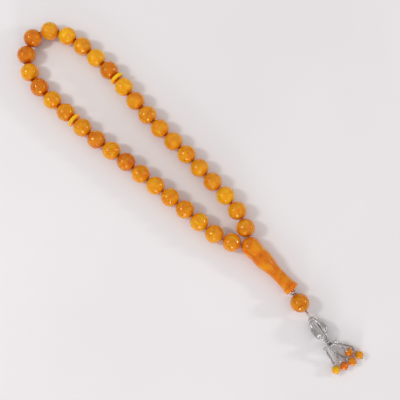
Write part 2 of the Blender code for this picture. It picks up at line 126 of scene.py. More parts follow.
# Imam, in millimetres: stations along its axis from the head's end, with the radius at each
IMAM_HEAD_CENTRE = Vector((4.6, -43.5, 5.3)) * MM
IMAM_TAIL_HEIGHT = 4.05 * MM
IMAM_HEAD_RADIUS = 5.3 * MM
IMAM_OUTLINE = [
    (5.3, 5.3),
    (7.6, 5.05),
    (10.2, 4.65),
    (12.2, 4.8),
    (14.4, 4.95),
    (17.0, 4.6),
    (20.0, 3.9),
    (24.0, 3.4),
    (28.5, 3.35),
    (33.6, 3.6),
]
IMAM_COLLAR = [(33.9, 4.0), (34.6, 4.05), (36.0, 4.05), (36.3, 3.85)]
IMAM_BORE = 1.4 * MM
IMAM_BORE_TOP = 8.5
IMAM_SIDE_HOLE_START = 10.4
IMAM_SIDE_HOLE_BORE = 1.25 * MM
IMAM_SIDE_HOLE_ANGLE = math.radians(17.5)

# Tassel
TASSEL_ORIGIN = Vector((1.5, -88.5, 4.6)) * MM
TASSEL_AXIS = Vector((-0.156, -0.988, 0.0)).normalized()
TASSEL_SIDE = Vector((0.988, -0.156, 0.0)).normalized()
KNOT_STATION = -1.65 * MM
KNOT_RADIUS = 0.75 * MM
KNOT_CORE_SHARE = 0.72
KNOT_WRAP_SHARE = 0.24
KNOT_WRAPS = 7
KNOT_WRAP_LEAN = 24.0
KNOT_WRAP_TURN = 51.0
KNOT_LOOP_STATION = -0.38 * MM
STOP_RING_RADIUS = 1.68 * MM
STOP_RING_BULGE = 0.27 * MM
STOP_RING_HALF_LENGTH = 0.45 * MM
TOP_RING_STATION = 0.67 * MM
NECK_EYE_STATION = 1.72 * MM
NECK_STATION = 2.44 * MM
NECK_LENGTH = 1.2 * MM
NECK_RADII = (1.0 * MM, 2.0 * MM)
NECK_RINGS = 4
CAGE_STATION = 4.34 * MM
CAGE_LENGTH = 12.0 * MM
CAGE_OUTLINE = [(0.0, 1.9), (1.0, 2.8), (2.8, 3.65), (5.4, 4.1), (7.8, 3.95), (10.2, 2.5), (12.0, 1.35)]
CAGE_HEAD_RING = (1.9 * MM, 0.36 * MM)
CAGE_FOOT_RING = (1.3 * MM, 0.36 * MM)
PETAL_COUNT = 4
PETAL_HALF_ANGLE = math.radians(31.0)
PETAL_WIRE = 0.2 * MM
PETAL_INNER_WIRE = 0.13 * MM
PETAL_GRAIN = 0.2 * MM
PETAL_INNER_SHARE = 0.66
PETAL_GRAIN_SHARE = 0.3
ROPE_STEP = 0.14 * MM
ROPE_STEPS_PER_TURN = 9
LEAF_INSET = 0.12 * MM
LEAF_THICKNESS = 0.16 * MM
SCROLL_STATION = 8.0 * MM
SCROLL_SIZE = 0.85 * MM
SCROLL_TURNS = 1.4
RIB_WIRE = 0.34 * MM
COLLAR_STATION = 17.04 * MM
COLLAR_LENGTH = 1.85 * MM
COLLAR_CORE = 1.0 * MM
COLLAR_RING = (1.18 * MM, 0.2 * MM)
COLLAR_GRAINS = 8
COLLAR_GRAIN = 0.46 * MM
COLLAR_GRAIN_CIRCLE = 1.12 * MM
ROSETTE_STATION = 19.19 * MM
ROSETTE_RADIUS = 4.6 * MM
ROSETTE_THICKNESS = 0.8 * MM
ROSETTE_FLUTES = 20
ROSETTE_FLUTE_DEPTH = 0.02
ROSETTE_FACE_ROWS = 12
ROSETTE_BACK_ROWS = 11
ROSETTE_BORE = 0.6 * MM
ROSETTE_GRAIN = 0.24 * MM
ROSETTE_ROPE = 0.13 * MM
RIM_LOOP_STATION = 20.365 * MM
RIM_LOOP_CIRCLE = 3.4 * MM
LINK_GAP = 0.25 * MM
KNOT_LOOP = (0.8 * MM, 0.28 * MM)
TOP_RING = (1.0 * MM, 0.22 * MM)
NECK_EYE = (0.72 * MM, 0.2 * MM)
RIM_LOOP = (0.75 * MM, 0.22 * MM)
CHAIN_EYE = (0.7 * MM, 0.2 * MM)
PIN_EYE = (0.66 * MM, 0.18 * MM)
LINK_HALF_STRAIGHT = 0.2 * MM
LINK_TURN = 0.52 * MM
LINK_WIRE = 0.22 * MM
LINK_SLACK = 0.34
PIN_RADIUS = 0.3 * MM
PIN_FOOT = 0.25 * MM
PIN_BALL_RADIUS = 0.5 * MM
PIN_CUP_ROWS = 7
PIN_CUP_WIDTH = 1.16 * MM
PIN_CUP_RADIUS = 2.34 * MM
PIN_CUP_FLUTES = 9
# Each chain: the angle of its loop round the rosette, then points of its lie in
# millimetres as station, side and height, the last being the end of the chain
CHAIN_LIES = [
    (180, [(24.0, -3.7, 4.3), (27.2, -3.8, 3.1)]),
    (108, [(24.0, -0.7, 6.6), (27.8, -0.3, 3.6)]),
    (-108, [(24.0, 0.1, 1.3), (28.6, 1.9, 1.8)]),
    (36, [(22.8, 3.5, 6.0), (24.6, 4.4, 4.8)]),
    (-36, [(24.0, 6.2, 2.3), (27.4, 9.0, 2.2)]),
]

# Colours, linear: each set of tones runs from the darkest to the lightest
DEEP_BEADS = (12, 17, 18, 20, 24, 26)
BRIGHT_BEADS = (3, 11, 13, 15)
DEEP_TONES = [(0.52, 0.11, 0.001), (0.62, 0.19, 0.001), (0.74, 0.31, 0.002)]
BRIGHT_TONES = [(0.74, 0.32, 0.001), (0.82, 0.43, 0.002), (0.9, 0.55, 0.008)]
END_BEAD_TONES = [(0.52, 0.16, 0.001), (0.62, 0.23, 0.001), (0.72, 0.32, 0.002)]
DISC_TONES = [(0.8, 0.42, 0.002), (0.87, 0.53, 0.005), (0.92, 0.64, 0.015)]
IMAM_TONES = [(0.58, 0.12, 0.001), (0.7, 0.22, 0.001), (0.82, 0.37, 0.002)]
TASSEL_BEAD_TONES = [
    [(0.66, 0.31, 0.001), (0.78, 0.43, 0.002), (0.86, 0.55, 0.004)],
    [(0.52, 0.1, 0.001), (0.64, 0.17, 0.001), (0.76, 0.3, 0.002)],
    [(0.54, 0.15, 0.001), (0.66, 0.25, 0.001), (0.78, 0.37, 0.002)],
    [(0.52, 0.13, 0.001), (0.62, 0.21, 0.001), (0.74, 0.33, 0.002)],
    [(0.54, 0.17, 0.001), (0.66, 0.28, 0.001), (0.78, 0.4, 0.002)],
]
SILVER = (0.8, 0.77, 0.76)
SILVER_SHEET = (0.56, 0.53, 0.53)
SILVER_DARK = (0.12, 0.1, 0.1)
THREAD_DARK = (0.4, 0.09, 0.025)
THREAD_LIGHT = (0.72, 0.24, 0.07)
TABLE_DARK = (0.82, 0.8, 0.82)
TABLE_LIGHT = (0.86, 0.84, 0.86)

# Resin: noise scales are per metre. Its colour is painted darker and redder where another surface is close:
# painted shade, with a painted reddish glow standing in for light through the resin.
CLOUD_SCALE = 150.0
STREAK_SCALE = 420.0
STREAK_STRENGTH = 0.35
POLISH_SCALE = 900.0
POLISH_DEPTH = 0.05 * MM
RESIN_ROUGHNESS = (0.08, 0.18)
RESIN_IOR = 1.55
RESIN_SPECULAR_TINT = (1.0, 0.74, 0.36, 1.0)
RESIN_COAT = 0.12
RESIN_COAT_ROUGHNESS = 0.06
SUBSURFACE = 1.0
SUBSURFACE_RADIUS = (1.0, 0.25, 0.04)
SUBSURFACE_SCALE = 4.0 * MM
SUBSURFACE_ANISOTROPY = 0.3
# Painted shade: how far to look for another surface, the occlusion range, how strongly the colour darkens,
# and the red and green of the painted shade colour
PAINTED_SHADE_DEPTH = 5.0 * MM
PAINTED_SHADE_RANGE = (0.25, 0.95)
PAINTED_SHADE_STRENGTH = 0.8
PAINTED_SHADE_RED = 1.1
PAINTED_SHADE_GREEN = 0.55

# Silver and thread
SILVER_PATCH_SCALE = 700.0
SILVER_PATCH_STRENGTH = 0.35
SILVER_PATCH_SHIFT = -0.17
SILVER_TARNISH_RANGE = (0.32, 0.88)
SILVER_TARNISH_ROUGHNESS = 0.22
SILVER_RUB_DEPTH = 0.04 * MM
FIBRE_SCALE = 5200.0
FIBRE_DEPTH = 0.05 * MM
THREAD_ROUGHNESS = 0.85
THREAD_SHEEN = 0.4

# Stage: each light's turn round the view and lean away from it in degrees, its distance and
# size in metres, its watts and its tint
TABLE_SIZE = 12.0
TABLE_GAP = 0.08 * MM
TABLE_ROUGHNESS = 0.8
TABLE_SPECULAR = 0.2
TABLE_CLOUD_SCALE = 9.0
LIGHTS = {
    "key": (168.0, 45.0, 0.8, 0.15, 1.7, (1.0, 0.985, 0.965)),
    "right_fill": (10.0, 70.0, 0.9, 0.1, 1.7, (1.0, 0.97, 0.94)),
    "window": (-88.0, 68.0, 0.8, 0.24, 2.1, (0.97, 0.985, 1.0)),
}
WORLD_COLOUR = (1.0, 0.985, 0.98)
WORLD_STOPS = [(0.0, 0.28), (0.4, 0.55), (0.72, 0.8), (1.0, 0.5)]


# Curves


def smooth_curve(points, steps=24):
    """Closely spaced points on a centripetal Catmull-Rom curve through the given points."""
    ends = [points[0] * 2 - points[1], points[-1] * 2 - points[-2]]
    path = [ends[0], *points, ends[1]]
    curve = []
    for i in range(1, len(path) - 2):
        p0, p1, p2, p3 = path[i - 1 : i + 3]
        t1 = (p1 - p0).length ** 0.5
        t2 = t1 + (p2 - p1).length ** 0.5
        t3 = t2 + (p3 - p2).length ** 0.5
        for k in range(steps):
            t = t1 + (t2 - t1) * k / steps
            a1 = p0 * ((t1 - t) / t1) + p1 * (t / t1)
            a2 = p1 * ((t2 - t) / (t2 - t1)) + p2 * ((t - t1) / (t2 - t1))
            a3 = p2 * ((t3 - t) / (t3 - t2)) + p3 * ((t - t2) / (t3 - t2))
            b1 = a1 * ((t2 - t) / t2) + a2 * (t / t2)
            b2 = a2 * ((t3 - t) / (t3 - t1)) + a3 * ((t - t1) / (t3 - t1))
            curve.append(b1 * ((t2 - t) / (t2 - t1)) + b2 * ((t - t1) / (t2 - t1)))
    curve.append(points[-1].copy())
    return curve


class Path:
    """A polyline that can be read by distance along it."""

    def __init__(self, points):
        self.points = points
        self.marks = [0.0]
        for a, b in zip(points, points[1:]):
            self.marks.append(self.marks[-1] + (b - a).length)
        self.length = self.marks[-1]

    def at(self, distance):
        distance = min(max(distance, 0.0), self.length)
        low, high = 0, len(self.marks) - 1
        while high - low > 1:
            middle = (low + high) // 2
            if self.marks[middle] <= distance:
                low = middle
            else:
                high = middle
        share = (distance - self.marks[low]) / (self.marks[high] - self.marks[low])
        return self.points[low].lerp(self.points[high], share)

    def along(self, distance):
        """Unit tangent at a distance along the path."""
        reach = self.length * 0.002
        return (self.at(distance + reach) - self.at(distance - reach)).normalized()

    def spread(self, step):
        """Evenly spaced points, no further apart than step."""
        count = max(2, math.ceil(self.length / step) + 1)
        return [self.at(self.length * i / (count - 1)) for i in range(count)]


def stem_strand(side):
    """Points of one of the two strands that share the imam's bore, from the knot up."""
    centre = [Vector(p) * MM for p in STEM_ROUTE]
    strand = []
    for i, point in enumerate(centre):
        ahead = centre[min(i + 1, len(centre) - 1)]
        behind = centre[max(i - 1, 0)]
        across = (ahead - behind).cross(UP).normalized()
        strand.append(point + across * STRAND_OFFSET * side)
    return strand


def cord_path():
    """The whole cord: up one strand, round the loop and down the other."""
    loop = [Vector(p) * MM for p in LOOP_ROUTE]
    return Path(smooth_curve(stem_strand(1) + loop + stem_strand(-1)[::-1]))


# Meshes


def placed(axis, location, down=DOWN):
    """A matrix whose local Z lies along axis and whose local X points down."""
    axis = axis.normalized()
    x = (down - axis * down.dot(axis)).normalized()
    y = axis.cross(x)
    turn = Matrix((x, y, axis)).transposed().to_4x4()
    return Matrix.Translation(location) @ turn


def skin(work, rows, closed):
    """Joins each row of vertices to the next with quads. Open ends get one flat face each."""
    sides = len(rows[0])
    pairs = list(zip(rows, rows[1:]))
    if closed:
        pairs.append((rows[-1], rows[0]))
    for lower, upper in pairs:
        for i in range(sides):
            j = (i + 1) % sides
            work.faces.new((lower[i], lower[j], upper[j], upper[i]))
    if not closed:
        work.faces.new(rows[0])
        work.faces.new(rows[-1])


def add_lathe(work, profile, sides, ring=True, matrix=None, flute=None):
    """Adds a shape turned about Z from (radius, height) pairs.

    A ring's profile closes on itself. flute(angle, row) scales the radii.
    """
    matrix = matrix or Matrix()
    rows = []
    for index, (radius, height) in enumerate(profile):
        row = []
        for i in range(sides):
            angle = math.tau * i / sides
            reach = radius * (flute(angle, index) if flute else 1.0)
            spot = Vector((reach * math.cos(angle), reach * math.sin(angle), height))
            row.append(work.verts.new(matrix @ spot))
        rows.append(row)
    skin(work, rows, ring)


def add_tube(work, points, radius, sides=8, closed=False, normal=None, plies=1, turns=0.0):
    """Adds a tube along the points. With two or more plies it is a twisted rope of that many."""
    count = len(points)
    across = normal or (points[1] - points[0]).orthogonal()
    rows = []
    for i, point in enumerate(points):
        ahead = points[(i + 1) % count] if closed else points[min(i + 1, count - 1)]
        behind = points[i - 1] if closed else points[max(i - 1, 0)]
        along = (ahead - behind).normalized()
        across = (across - along * across.dot(along)).normalized()
        beside = along.cross(across)
        twist = math.tau * turns * i / (count if closed else count - 1)
        row = []
        for k in range(sides):
            angle = math.tau * k / sides
            reach = radius * ply_reach(angle, plies)
            turned = angle + twist
            spot = across * math.cos(turned) + beside * math.sin(turned)
            row.append(work.verts.new(point + spot * reach))
        rows.append(row)
    skin(work, rows, closed)


def ply_reach(angle, plies):
    """How far a rope's outline reaches at an angle, as a share of its radius."""
    if plies == 1:
        return 1.0
    if plies == 2:
        return max(abs(math.cos(angle)), 0.5)
    return 0.86 + 0.14 * math.cos(plies * angle)


def ring_points(radius, count, matrix=None):
    matrix = matrix or Matrix()
    spots = []
    for i in range(count):
        angle = math.tau * i / count
        spots.append(matrix @ Vector((radius * math.cos(angle), radius * math.sin(angle), 0.0)))
    return spots


def add_hoop(work, ring_radius, wire_radius, matrix=None, count=40, sides=10, plies=1, turns=0):
    """Adds a wire ring about the matrix's Z."""
    matrix = matrix or Matrix()
    spots = ring_points(ring_radius, count, matrix)
    normal = matrix.to_3x3() @ UP
    add_tube(work, spots, wire_radius, sides, True, normal, plies, turns)


def add_ball(work, centre, radius, rows=10, sides=14):
    bmesh.ops.create_uvsphere(
        work,
        u_segments=sides,
        v_segments=rows,
        radius=radius,
        matrix=Matrix.Translation(centre),
    )


def make_piece(name, work, material, body, nodes=(), matrix=None, sharp=50):
    """Turns a bmesh into a smooth shaded object that rides on a CAD body."""
    bmesh.ops.recalc_face_normals(work, faces=work.faces)
    data = bpy.data.meshes.new(name)
    work.to_mesh(data)
    work.free()
    data.shade_smooth()
    data.set_sharp_from_angle(angle=math.radians(sharp))
    data.materials.append(material)
    item = bpy.data.objects.new(name, data)
    item.matrix_world = matrix or Matrix()
    bpy.context.scene.collection.objects.link(item)
    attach(item, body)
    if nodes:
        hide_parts(*nodes)
    return item


# Materials


def new_material(name):
    """An empty node material, with its Principled shader and a helper to add nodes."""
    material = bpy.data.materials.new(name)
    material.use_nodes = True
    tree = material.node_tree
    shader = tree.nodes["Principled BSDF"]

    def add(kind, **values):
        node = tree.nodes.new(kind)
        for key, value in values.items():
            if key in node.inputs:
                node.inputs[key].default_value = value
            else:
                setattr(node, key, value)
        return node

    return material, tree.links, shader, add


def set_stops(ramp, stops):
    elements = ramp.color_ramp.elements
    while len(elements) < len(stops):
        elements.new(0.5)
    for element, (position, colour) in zip(elements, stops):
        element.position = position
        element.color = (*colour, 1.0)


def colour_ramp(add, stops):
    """A Color Ramp with (position, colour) stops."""
    ramp = add("ShaderNodeValToRGB")
    set_stops(ramp, stops)
    return ramp


def object_space(add, links, offset, stretch=(1.0, 1.0, 1.0)):
    """Object coordinates, moved by an offset so that each piece has its own pattern."""
    place = add("ShaderNodeTexCoord")
    shift = add("ShaderNodeMapping")
    shift.inputs["Location"].default_value = offset
    shift.inputs["Scale"].default_value = stretch
    links.new(place.outputs["Object"], shift.inputs["Vector"])
    return shift.outputs["Vector"]


def resin_material(name, tones, seed, scale=1.0, grain=3.2):
    """Polished amber-like resin: cloudy swirls of three tones, with streaks.

    Its colour is painted darker and redder where another surface is close: painted shade, with a painted
    reddish glow standing in for light that passes through the resin.
    """
    material, links, shader, add = new_material(name)
    picker = random.Random(seed)
    offset = [picker.uniform(-1.0, 1.0) for _ in range(3)]
    space = object_space(add, links, offset)
    cloud = add("ShaderNodeTexNoise", Scale=CLOUD_SCALE / scale, Detail=5.0, Roughness=0.55, Distortion=1.2)
    links.new(space, cloud.inputs["Vector"])
    dark, middle, light = tones
    ramp = colour_ramp(add, [(0.3, dark), (0.5, middle), (0.72, light)])
    links.new(cloud.outputs["Fac"], ramp.inputs["Fac"])
    streak_space = object_space(add, links, offset, (1.0, 1.0, grain))
    streak = add("ShaderNodeTexNoise", Scale=STREAK_SCALE / scale, Detail=4.0, Roughness=0.6, Distortion=2.4)
    links.new(streak_space, streak.inputs["Vector"])
    streak_ramp = colour_ramp(add, [(0.42, (0.0, 0.0, 0.0)), (0.68, (1.0, 1.0, 1.0))])
    links.new(streak.outputs["Fac"], streak_ramp.inputs["Fac"])
    strength = add("ShaderNodeMath", operation="MULTIPLY")
    strength.inputs[1].default_value = STREAK_STRENGTH
    links.new(streak_ramp.outputs["Color"], strength.inputs[0])
    mix = add("ShaderNodeMix", data_type="RGBA")
    links.new(strength.outputs["Value"], mix.inputs["Factor"])
    links.new(ramp.outputs["Color"], mix.inputs["A"])
    mix.inputs["B"].default_value = (*light, 1.0)
    # Painted shade: ambient occlusion darkens and reddens the base colour where another surface is close
    near = add("ShaderNodeAmbientOcclusion", samples=8)
    near.inputs["Distance"].default_value = PAINTED_SHADE_DEPTH
    painted_shade_amount = add("ShaderNodeMapRange")
    painted_shade_amount.inputs["From Min"].default_value = PAINTED_SHADE_RANGE[0]
    painted_shade_amount.inputs["From Max"].default_value = PAINTED_SHADE_RANGE[1]
    painted_shade_amount.inputs["To Min"].default_value = PAINTED_SHADE_STRENGTH
    painted_shade_amount.inputs["To Max"].default_value = 0.0
    links.new(near.outputs["AO"], painted_shade_amount.inputs["Value"])
    painted_shade_mix = add("ShaderNodeMix", data_type="RGBA")
    links.new(painted_shade_amount.outputs["Result"], painted_shade_mix.inputs["Factor"])
    links.new(mix.outputs["Result"], painted_shade_mix.inputs["A"])
    painted_shade_mix.inputs["B"].default_value = (dark[0] * PAINTED_SHADE_RED, dark[1] * PAINTED_SHADE_GREEN, 0.0, 1.0)
    links.new(painted_shade_mix.outputs["Result"], shader.inputs["Base Color"])
    wear = add("ShaderNodeTexNoise", Scale=POLISH_SCALE, Detail=3.0, Roughness=0.5)
    links.new(space, wear.inputs["Vector"])
    gloss = add("ShaderNodeMapRange")
    gloss.inputs["To Min"].default_value = RESIN_ROUGHNESS[0]
    gloss.inputs["To Max"].default_value = RESIN_ROUGHNESS[1]
    links.new(wear.outputs["Fac"], gloss.inputs["Value"])
    links.new(gloss.outputs["Result"], shader.inputs["Roughness"])
    dents = add("ShaderNodeBump", Strength=0.05, Distance=POLISH_DEPTH)
    links.new(wear.outputs["Fac"], dents.inputs["Height"])
    links.new(dents.outputs["Normal"], shader.inputs["Normal"])
    shader.inputs["Subsurface Weight"].default_value = SUBSURFACE
    shader.inputs["Subsurface Radius"].default_value = SUBSURFACE_RADIUS
    shader.inputs["Subsurface Scale"].default_value = SUBSURFACE_SCALE
    shader.inputs["Subsurface Anisotropy"].default_value = SUBSURFACE_ANISOTROPY
    shader.inputs["IOR"].default_value = RESIN_IOR
    shader.inputs["Specular Tint"].default_value = RESIN_SPECULAR_TINT
    shader.inputs["Coat Weight"].default_value = RESIN_COAT
    shader.inputs["Coat Roughness"].default_value = RESIN_COAT_ROUGHNESS
    return material


def silver_material(name, colour, roughness, dark, depth):
    """Worn silver: bright where it is rubbed, dark in the hollows between its wires."""
    material, links, shader, add = new_material(name)
    space = object_space(add, links, (0.0, 0.0, 0.0))
    patch = add("ShaderNodeTexNoise", Scale=SILVER_PATCH_SCALE, Detail=4.0, Roughness=0.6)
    links.new(space, patch.inputs["Vector"])
    hollow = add("ShaderNodeAmbientOcclusion", samples=8)
    hollow.inputs["Distance"].default_value = depth
    spread = add("ShaderNodeMath", operation="MULTIPLY_ADD")
    spread.inputs[1].default_value = SILVER_PATCH_STRENGTH
    spread.inputs[2].default_value = SILVER_PATCH_SHIFT
    links.new(patch.outputs["Fac"], spread.inputs[0])
    total = add("ShaderNodeMath", operation="ADD")
    links.new(hollow.outputs["AO"], total.inputs[0])
    links.new(spread.outputs["Value"], total.inputs[1])
    ramp = colour_ramp(add, [(SILVER_TARNISH_RANGE[0], dark), (SILVER_TARNISH_RANGE[1], colour)])
    links.new(total.outputs["Value"], ramp.inputs["Fac"])
    links.new(ramp.outputs["Color"], shader.inputs["Base Color"])
    gloss = add("ShaderNodeMapRange")
    gloss.inputs["To Min"].default_value = roughness + SILVER_TARNISH_ROUGHNESS
    gloss.inputs["To Max"].default_value = roughness
    links.new(total.outputs["Value"], gloss.inputs["Value"])
    links.new(gloss.outputs["Result"], shader.inputs["Roughness"])
    rub = add("ShaderNodeBump", Strength=0.1, Distance=SILVER_RUB_DEPTH)
    links.new(patch.outputs["Fac"], rub.inputs["Height"])
    links.new(rub.outputs["Normal"], shader.inputs["Normal"])
    shader.inputs["Metallic"].default_value = 1.0
    return material


def thread_material():
    """Dull reddish thread, with fine fibres along its plies."""
    material, links, shader, add = new_material("thread_twist")
    space = object_space(add, links, (0.0, 0.0, 0.0))
    fibre = add("ShaderNodeTexNoise", Scale=FIBRE_SCALE, Detail=3.0, Roughness=0.7)
    links.new(space, fibre.inputs["Vector"])
    ramp = colour_ramp(add, [(0.3, THREAD_DARK), (0.7, THREAD_LIGHT)])
    links.new(fibre.outputs["Fac"], ramp.inputs["Fac"])
    links.new(ramp.outputs["Color"], shader.inputs["Base Color"])
    fuzz = add("ShaderNodeBump", Strength=0.5, Distance=FIBRE_DEPTH)
    links.new(fibre.outputs["Fac"], fuzz.inputs["Height"])
    links.new(fuzz.outputs["Normal"], shader.inputs["Normal"])
    shader.inputs["Roughness"].default_value = THREAD_ROUGHNESS
    shader.inputs["Sheen Weight"].default_value = THREAD_SHEEN
    return material


def table_material():
    """A pale matt table top."""
    material, links, shader, add = new_material("table_top")
    space = object_space(add, links, (0.0, 0.0, 0.0))
    cloud = add("ShaderNodeTexNoise", Scale=TABLE_CLOUD_SCALE, Detail=3.0, Roughness=0.5)
    links.new(space, cloud.inputs["Vector"])
    ramp = colour_ramp(add, [(0.3, TABLE_DARK), (0.7, TABLE_LIGHT)])
    links.new(cloud.outputs["Fac"], ramp.inputs["Fac"])
    links.new(ramp.outputs["Color"], shader.inputs["Base Color"])
    shader.inputs["Roughness"].default_value = TABLE_ROUGHNESS
    shader.inputs["Specular IOR Level"].default_value = TABLE_SPECULAR
    return material


# Strand


def joint_of(body):
    """(position, axis) of the joint that carries a CAD body."""
    for joint in frame["joints"]:
        if joint["child"] == body:
            return Vector(joint["pos_m"]), Vector(joint["axis"])
    raise ValueError("no joint carries " + body)


def bored_ball(radius, bore, rows=30):
    """Profile of a drilled ball whose bore has a small rounded lip."""
    lip = min(LIP, radius * 0.05)
    mouth = math.asin((bore + lip) / radius)
    profile = []
    for i in range(rows + 1):
        angle = mouth + (math.pi - 2 * mouth) * i / rows
        profile.append((radius * math.sin(angle), radius * math.cos(angle)))
    edge = radius * math.cos(mouth)
    inner = [(bore + lip * 0.3, -edge + lip * 0.25), (bore, -edge + lip)]
    inner += [(bore, -edge * 0.4), (bore, edge * 0.4)]
    inner += [(bore, edge - lip), (bore + lip * 0.3, edge - lip * 0.25)]
    return profile + inner


def wobble(seed, size):
    """A slow unevenness round a hand-finished piece."""
    picker = random.Random(seed)
    phases = [picker.uniform(0.0, math.tau) for _ in range(3)]

    def flute(angle, row):
        wave = math.sin(2 * angle + phases[0] + row * 0.1)
        wave += math.sin(3 * angle + phases[1] - row * 0.16)
        wave += math.sin(5 * angle + phases[2] + row * 0.23)
        return 1.0 + size * wave / 3

    return flute


def blend_colour(a, b, share):
    return tuple(x + (y - x) * share for x, y in zip(a, b))


def bead_tones(number, seed):
    """The three tones of a bead: most are mid orange, some deep and some yellow."""
    picker = random.Random(seed)
    share = picker.uniform(0.35, 0.65)
    if number in DEEP_BEADS:
        share = picker.uniform(0.02, 0.12)
    if number in BRIGHT_BEADS:
        share = picker.uniform(0.9, 1.0)
    return [blend_colour(a, b, share) for a, b in zip(DEEP_TONES, BRIGHT_TONES)]


def make_ball(name, body, centre, axis, radius, bore, tones, seed):
    """A drilled resin ball, slightly uneven, that stands for its body's CAD node."""
    work = bmesh.new()
    add_lathe(work, bored_ball(radius, bore), 56, flute=wobble(seed, 0.003))
    material = resin_material(name + "_resin", tones, seed, radius / BEAD_RADIUS)
    item = make_piece(name, work, material, body, [body], placed(axis, centre))


def make_beads():
    for number in range(1, BEAD_COUNT + 1):
        body = "bead_{:02d}".format(number)
        centre, axis = joint_of(body)
        seed = SEED * 100 + number
        tones = bead_tones(number, seed)
        make_ball(body + "_ball", body, centre, axis, BEAD_RADIUS, BEAD_BORE, tones, seed)
    centre, axis = joint_of("end_bead")
    make_ball(
        "end_bead_ball",
        "end_bead",
        centre,
        axis,
        BEAD_RADIUS,
        END_BEAD_BORE,
        END_BEAD_TONES,
        SEED,
    )


def make_discs():
    """The two thin discs that part the groups: flat, with a rounded rim."""
    for number in (1, 2):
        body = "marker_disc_{}".format(number)
        centre, axis = joint_of(body)
        half = DISC_THICKNESS / 2
        profile = [(BEAD_BORE, half - LIP), (BEAD_BORE + LIP * 0.4, half - LIP * 0.2)]
        profile += [(BEAD_BORE + LIP, half), (DISC_RADIUS - half * 1.1, half)]
        for i in range(9):
            angle = math.pi * (0.5 - (i + 1) / 10)
            reach = DISC_RADIUS - half * 0.9 * (1 - math.cos(angle))
            profile.append((reach, half * math.sin(angle)))
        profile += [(DISC_RADIUS - half * 1.1, -half), (BEAD_BORE + LIP, -half)]
        profile += [(BEAD_BORE + LIP * 0.4, -half + LIP * 0.2), (BEAD_BORE, -half + LIP)]
        work = bmesh.new()
        add_lathe(work, profile, 64, flute=wobble(number, 0.004))
        material = resin_material(body + "_resin", DISC_TONES, SEED + number, 0.8)
        item = make_piece(body + "_turned", work, material, body, [body], placed(axis, centre))


def make_cord(material):
    """One long three-ply thread through the whole strand."""
    path = cord_path()
    points = path.spread(CORD_STEP)
    work = bmesh.new()
    turns = path.length / (CORD_PLY_PITCH * CORD_PLIES)
    add_tube(work, points, CORD_RADIUS, 12, plies=CORD_PLIES, turns=turns)
    item = make_piece("cord_thread", work, material, "cord_and_imam", ["cord"])


# Imam


def imam_axis():
    """Unit vector from the imam's head to its tail: the tail is thinner, so it lies lower."""
    run = (IMAM_COLLAR[1][0] - IMAM_OUTLINE[0][0]) * MM
    drop = IMAM_HEAD_CENTRE.z - IMAM_TAIL_HEIGHT
    return Vector((0.0, -math.sqrt(run * run - drop * drop), -drop)).normalized()


def imam_point(station):
    """The point on the imam's axis at a station of its outline."""
    return IMAM_HEAD_CENTRE + imam_axis() * (station - IMAM_OUTLINE[0][0]) * MM


def cut(item, start, end, radius):
    """Drills a round hole between two world points."""
    work = bmesh.new()
    length = (end - start).length
    add_lathe(work, [(radius, 0.0), (radius, length)], 32, ring=False)
    bmesh.ops.recalc_face_normals(work, faces=work.faces)
    data = bpy.data.meshes.new("drill")
    work.to_mesh(data)
    work.free()
    drill = bpy.data.objects.new("drill", data)
    drill.matrix_world = placed(end - start, start)
    bpy.context.scene.collection.objects.link(drill)
    change = item.modifiers.new("drill", "BOOLEAN")
    change.operation = "DIFFERENCE"
    change.solver = "EXACT"
    change.object = drill
    bpy.context.view_layer.update()
    graph = bpy.context.evaluated_depsgraph_get()
    result = bpy.data.meshes.new_from_object(item.evaluated_get(graph))
    item.modifiers.clear()
    item.data = result
    bpy.data.objects.remove(drill)


def make_imam():
    """The turned head piece: round head, waist, second swell, long tapered tail and collar."""
    head = []
    for i in range(1, 30):
        angle = math.radians(3.0 * i)
        station = IMAM_HEAD_RADIUS * (1 - math.cos(angle))
        head.append((IMAM_HEAD_RADIUS * math.sin(angle), station))
    body = smooth_curve([Vector((radius, station, 0)) * MM for station, radius in IMAM_OUTLINE], 8)
    collar = smooth_curve([Vector((radius, station, 0)) * MM for station, radius in IMAM_COLLAR], 5)
    profile = head + [(p.x, p.y) for p in body + collar]
    work = bmesh.new()
    add_lathe(work, profile, 80, ring=False, flute=wobble(SEED, 0.003))
    material = resin_material("imam_resin_swirl", IMAM_TONES, SEED + 7, 1.6, 0.3)
    place = placed(imam_axis(), imam_point(0.0))
    item = make_piece("imam_turned", work, material, "cord_and_imam", ["imam"], place, 35)
    cut(item, imam_point(IMAM_COLLAR[-1][0] + 1.0), imam_point(IMAM_BORE_TOP), IMAM_BORE)
    start = imam_point(IMAM_SIDE_HOLE_START)
    for side in (1, -1):
        swing = Matrix.Rotation(-side * IMAM_SIDE_HOLE_ANGLE, 3, "Z")
        end = start - (swing @ imam_axis()) * 3 * IMAM_HEAD_RADIUS
        cut(item, start, end, IMAM_SIDE_HOLE_BORE)


# Tassel


def tassel_point(station, side=0.0, height=None):
    """World point from a station along the tassel, a sideways offset and a height."""
    point = TASSEL_ORIGIN + TASSEL_AXIS * station + TASSEL_SIDE * side
    if height is not None:
        point.z = height
    return point


def upright(direction):
    """Normal of the upright plane that holds a direction."""
    return direction.cross(UP).normalized()


